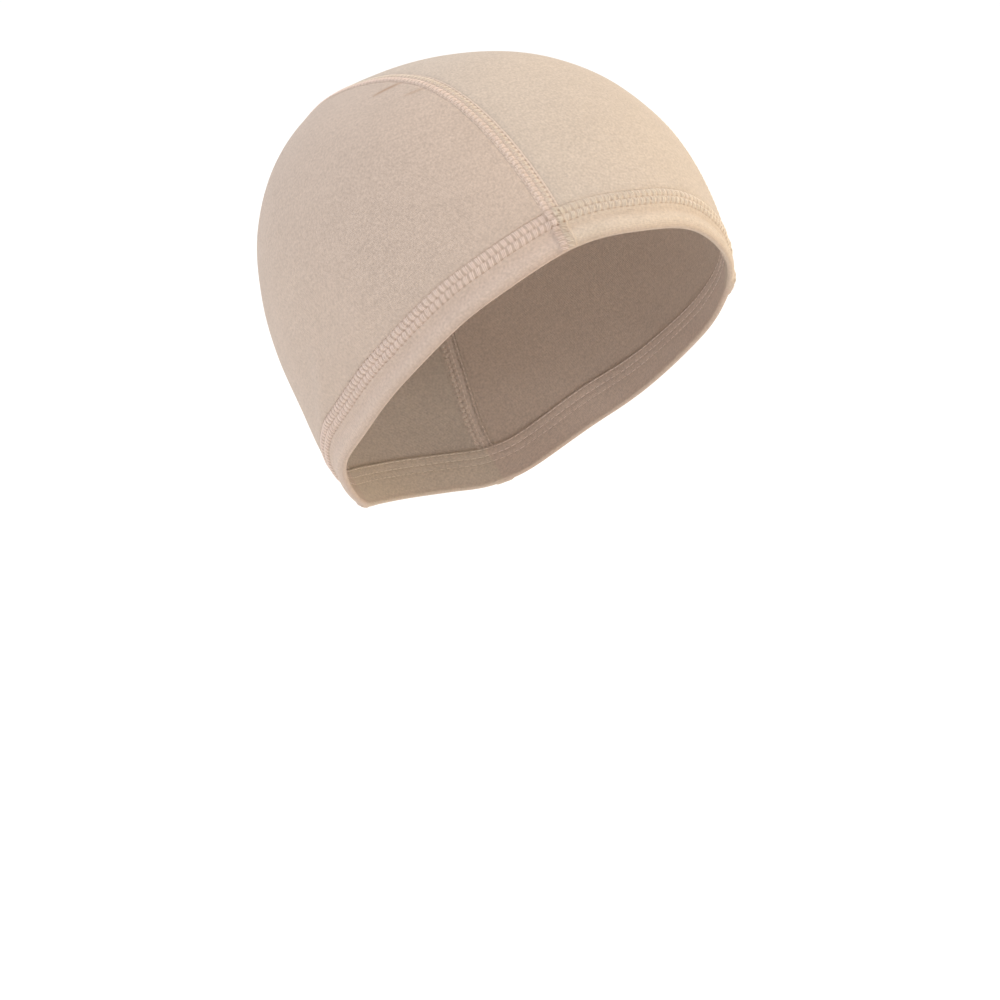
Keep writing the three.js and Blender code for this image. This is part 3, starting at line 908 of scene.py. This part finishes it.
def thread_piece(name, runs):
    """Round strands as one mesh. Each run has its paths, their normals and a thickness at each point."""
    all_points, all_faces, all_grain = [], [], []
    start = 0
    for paths, normals, radii in runs:
        count, length = paths.shape[:2]
        way = unit(np.gradient(paths, axis=1))
        side = unit(np.cross(way, normals))
        up = np.cross(side, way)
        angles = np.arange(THREAD_SIDES) * 2 * math.pi / THREAD_SIDES
        ring = side[:, :, None] * np.cos(angles)[:, None] + up[:, :, None] * np.sin(angles)[:, None]
        points = paths[:, :, None] + ring * radii[:, :, None, None]
        index = np.arange(count * length * THREAD_SIDES).reshape(count, length, THREAD_SIDES) + start
        nextward = np.roll(index, -1, axis=2)
        quads = np.stack([index[:, :-1], nextward[:, :-1], nextward[:, 1:], index[:, 1:]], -1)
        all_faces += quads.reshape(-1, 4).tolist()
        all_faces += index[:, 0, ::-1].tolist() + index[:, -1].tolist()
        run = np.linalg.norm(np.diff(paths, axis=1), axis=-1)
        run = np.concatenate([np.zeros((count, 1)), np.cumsum(run, axis=1)], axis=1)
        around = np.arange(THREAD_SIDES) / THREAD_SIDES
        grain = np.stack(np.broadcast_arrays(run[:, :, None], around), -1)
        all_points.append(points.reshape(-1, 3))
        all_grain.append(grain.reshape(-1, 2))
        start += count * length * THREAD_SIDES
    points = np.concatenate(all_points)
    piece = cloth_piece(name, points, all_faces, np.concatenate(all_grain), {"side": side_share(points)})
    face_outward(piece)
    return piece


def looper_strands(counts, low, high, low_phase, high_phase, slant, lift, thickness):
    """Where the strands of one row of loops run: stitch count, distance across, height, thickness."""
    steps = np.linspace(0, 1, 9)
    strand = np.tile(STRANDS, len(counts))
    counts = np.repeat(counts, len(STRANDS))
    shift = strand * STRAND_SPREAD + random.normal(0, 0.02, len(counts))
    start = counts - low_phase + shift * 0.85
    end = counts - high_phase + shift * 1.1 + slant
    bow = np.sin(steps * math.pi)
    along_row = start[:, None] + (end - start)[:, None] * steps
    across_row = low + (high - low) * steps[None] + 0 * along_row
    rise = lift * (bow ** 0.6)[None] * (1 + 0.1 * (1 - np.abs(strand)))[:, None] - 0.12 * (1 - bow)[None]
    rise = rise + random.normal(0, 0.02, rise.shape)
    radius = thickness * (0.55 + 0.45 * bow ** 0.5)[None] * random.uniform(0.85, 1.15, (len(counts), 1))
    return along_row, across_row, rise, radius


def thread_material(name, colour, warm_colour):
    """Soft twisted thread with a light nap."""
    material, tree, _, lengthways, around, place = fibre_material(name)
    twist = maths(tree, "ADD", maths(tree, "MULTIPLY", lengthways, 2.2), around)
    twist = maths(tree, "SINE", maths(tree, "MULTIPLY", twist, 2 * math.pi))
    speck = noise(tree, place, 1500.0, 2.0)
    drift = noise(tree, place, 300.0, 2.0)
    drift = maths(tree, "MULTIPLY", maths(tree, "SUBTRACT", drift, 0.5), 1.6)
    drift = maths(tree, "ADD", stored(tree, "side"), drift)
    tint = blend(tree, drift, shaded(warm_colour, 1.0), shaded(colour, 1.0))
    face = blend(tree, maths(tree, "MULTIPLY", speck, 0.25), tint, shaded(colour, 0.6))
    # Painted shade in the hollows of the thread's twist.
    twist_shade = maths(tree, "MULTIPLY", maths(tree, "SUBTRACT", 1.0, twist), 0.1)
    face = blend(tree, twist_shade, face, shaded(colour, 0.6))
    bump = wire(tree, "ShaderNodeBump", {}, {"Height": twist, "Strength": 0.5, "Distance": 0.00006})
    rough = maths(tree, "ADD", maths(tree, "MULTIPLY", speck, 0.15), 0.68)
    finish_material(tree, {
        "Base Color": face, "Normal": bump, "Roughness": rough, "Specular IOR Level": 0.3,
        "Sheen Weight": 0.3, "Sheen Roughness": 0.4,
    })
    return material


thread = thread_material("looper_thread", (0.92, 0.755, 0.67), (0.84, 0.735, 0.6))
hem_edge_points = hem_edge(rim_stations)


def hem_run(counts, distances, rise):
    azimuths = np.interp(counts % HEM_STITCHES, rim_counts, rim_stations)
    base = above_hem(azimuths, distances)
    normal = outward(base)
    height = hem_section(distances) + lap_height(base)[0] + rise
    return base + normal * height[..., None], normal


# The inner stitches: the part of a stitch's length that each covers, and how it bows off the cloth
STITCH_START, STITCH_RUN, STITCH_BOW = 0.08, 0.84, 0.24
inner_steps = np.linspace(0, 1, 5)


def inner_stitches(whole):
    """Stitch counts along each inner stitch, how far each place is from its ends, and its thickness."""
    counts = whole[:, None] + STITCH_START + STITCH_RUN * inner_steps
    bow = np.sin(inner_steps * math.pi)[None] + 0 * counts
    return counts, bow, THREAD_RADIUS * (0.6 + 0.4 * bow)


runs = []
whole = np.arange(HEM_STITCHES)
lines, phases = HEM_LINE_DISTANCES, HEM_LINE_PHASES
for row in (0, 1):
    counts, spots, rise, radius = looper_strands(
        whole + 0.5, lines[row], lines[row + 1], phases[row], phases[row + 1], HEM_SLANT,
        HEM_THREAD_LIFT, THREAD_RADIUS,
    )
    paths, normals = hem_run(counts, spots, rise)
    runs.append((paths, normals, radius))
for line in lines:
    counts, bow, radius = inner_stitches(whole)
    azimuths = np.interp(counts % HEM_STITCHES, rim_counts, rim_stations)
    base = above_hem(azimuths, line + 0 * counts)
    normal = outward(base)
    paths = base + normal * (HEM_INNER + 0.16 - STITCH_BOW * bow ** 0.5)[..., None]
    runs.append((paths, normal, radius))
hem_thread = thread_piece("hem_thread", runs)
dress(hem_thread, thread)

# A seam's loops run on over the hem almost to its edge, and its inner stitches end above the hem
THREAD_MARGIN = 0.4
LOWEST_THREAD = 0.3
for side, name in SIDES:
    middle = np.array([0.0])
    front, back = (ends[0] for ends in seam_ends(side, middle, THREAD_MARGIN))
    top_front, top_back = (ends[0] for ends in seam_ends(side, middle, HEM_HEIGHT + THREAD_MARGIN))
    table_end = seam_tables[side][0][-1] - THREAD_MARGIN
    whole = np.arange(math.floor(front / SEAM_STITCH) - 1, math.ceil(back / SEAM_STITCH) + 1)
    runs = []
    lines, phases = SEAM_LINE_OFFSETS, SEAM_LINE_PHASES
    for row in (0, 1):
        counts, spots, rise, radius = looper_strands(
            whole + 0.5, lines[row], lines[row + 1], phases[row], phases[row + 1], -side * SEAM_SLANT,
            SEAM_THREAD_LIFT, SEAM_THREAD_RADIUS,
        )
        lengths = np.clip(counts * SEAM_STITCH, THREAD_MARGIN, table_end)
        base = seam_point(side, lengths, spots)
        normal = outward(base)
        height = seam_section(spots)
        _, above = place_by_line(base, rim_counts, hem_edge_points)
        over_hem = ((lengths < top_front + 3) | (lengths > top_back - 3)) & (above < HEM_HEIGHT)
        past_edge = np.clip(FOLD_RADIUS - above[over_hem], 0, FOLD_RADIUS)
        fold_drop = FOLD_RADIUS - np.sqrt(FOLD_RADIUS ** 2 - past_edge ** 2)
        height[over_hem] = hem_section(above[over_hem]) + LAP_HEIGHT + HEM_THREAD_LIFT - fold_drop
        paths = base + normal * (height + rise)[..., None]
        kept = (above > LOWEST_THREAD).all(axis=1)
        runs.append((paths[kept], normal[kept], radius[kept]))
    inside = np.arange(math.ceil(top_front / SEAM_STITCH), math.floor(top_back / SEAM_STITCH))
    for line in lines:
        counts, bow, radius = inner_stitches(inside)
        base = seam_point(side, counts * SEAM_STITCH, line + 0 * counts)
        normal = outward(base)
        drop = seam_section(line + 0 * counts) - SEAM_THICKNESS + 0.1 - STITCH_BOW * bow ** 0.5
        runs.append((base + normal * drop[..., None], normal, radius))
    seam_thread = thread_piece(f"{name}_seam_thread", runs)
    dress(seam_thread, thread)


# The pale floor lies well below the cap, and the soft studio light comes from all round: a little
# cool, but warm from the cap's front left, with three large soft boxes for the lights and shades.
FLOOR_HEIGHT, FLOOR_SIZE = -0.36, 14
bpy.ops.object.select_all(action="DESELECT")
bpy.ops.mesh.primitive_plane_add(size=FLOOR_SIZE, location=(0, 0, FLOOR_HEIGHT))
floor = bpy.context.object
floor.name = "floor"
pale = bpy.data.materials.new("pale_floor")
pale.use_nodes = True
pale.node_tree.nodes["Principled BSDF"].inputs["Base Color"].default_value = (0.96, 0.98, 1.0, 1)
pale.node_tree.nodes["Principled BSDF"].inputs["Roughness"].default_value = 0.9
floor.data.materials.append(pale)

WARM_DIRECTION = tuple(direction(math.radians(50), math.radians(5)))
WARM_LIGHT, COOL_LIGHT = (1.0, 0.9, 0.76, 1.0), (0.99, 1.0, 1.03, 1.0)
world = bpy.data.worlds.new("studio")
bpy.context.scene.world = world
world.use_nodes = True
sky = world.node_tree
sky_place = sky.nodes.new("ShaderNodeTexCoord").outputs["Generated"]
warm_part = measure(sky, "DOT_PRODUCT", sky_place, WARM_DIRECTION)
warmth = wire(
    sky, "ShaderNodeMapRange", {"interpolation_type": "SMOOTHSTEP"},
    {"Value": warm_part, "From Min": 0.05, "From Max": 0.75},
)
tint = blend(sky, warmth, COOL_LIGHT, WARM_LIGHT)
sky.links.new(tint, sky.nodes["Background"].inputs["Color"])
sky.nodes["Background"].inputs["Strength"].default_value = 1.05


def soft_light(name, azimuth, elevation, distance, size, power, colour):
    """A square soft box that faces the cap: angles in degrees, metres, watts."""
    aim = Vector(direction(math.radians(azimuth), math.radians(elevation)))
    data = bpy.data.lights.new(name, "AREA")
    data.size = size
    data.energy = power
    data.color = colour
    light = bpy.data.objects.new(name, data)
    bpy.context.scene.collection.objects.link(light)
    light.location = Vector(MIDDLE * 0.001) + aim * distance
    light.rotation_euler = aim.to_track_quat("Z", "Y").to_euler()


soft_light("key", 45, 48, 2.2, 1.6, 16.3, (1.0, 0.95, 0.87))
soft_light("warm", 68, 10, 2.4, 2.2, 16, (1.0, 0.68, 0.12))
soft_light("fill", -100, 55, 2.6, 2.2, 5, (1.0, 0.97, 0.98))

# The camera stands where the photograph was taken: azimuth, elevation and roll in degrees, then the
# distance in millimetres, the lens in pixels and where in the square frame the form's middle lies
AZIMUTH, ELEVATION, ROLL = -38.19, 11.49, -1.37
DISTANCE, FOCAL_PIXELS = 1500.0, 4176.0
CENTRE_PIXEL = (493.4, 307.75)
FRAME_PIXELS, SENSOR_WIDTH = 1000, 36
azimuth, elevation, roll = (math.radians(x) for x in (AZIMUTH, ELEVATION, ROLL))
back = direction(azimuth, elevation)
rightward = np.array([math.cos(azimuth), math.sin(azimuth), 0.0])
upward = np.cross(back, rightward)
screen_right = rightward * math.cos(roll) - upward * math.sin(roll)
screen_up = rightward * math.sin(roll) + upward * math.cos(roll)
scale = DISTANCE / FOCAL_PIXELS
aim = MIDDLE + screen_right * (FRAME_PIXELS / 2 - CENTRE_PIXEL[0]) * scale
aim = aim - screen_up * (FRAME_PIXELS / 2 - CENTRE_PIXEL[1]) * scale
spot = MIDDLE + back * DISTANCE
forward = unit(aim - spot)
camera_right = unit(np.cross(forward, screen_up))
camera_up = np.cross(camera_right, forward)
camera_data = bpy.data.cameras.new("camera")
camera_data.sensor_width = SENSOR_WIDTH
camera_data.lens = FOCAL_PIXELS / FRAME_PIXELS * SENSOR_WIDTH
camera_data.clip_start, camera_data.clip_end = 0.05, 60
camera = bpy.data.objects.new("camera", camera_data)
bpy.context.scene.collection.objects.link(camera)
turn = Matrix([
    [camera_right[k], camera_up[k], -forward[k], spot[k] * 0.001] for k in range(3)
] + [[0, 0, 0, 1]])
camera.matrix_world = turn
bpy.context.scene.camera = camera
bpy.context.scene.view_settings.view_transform = "Standard"
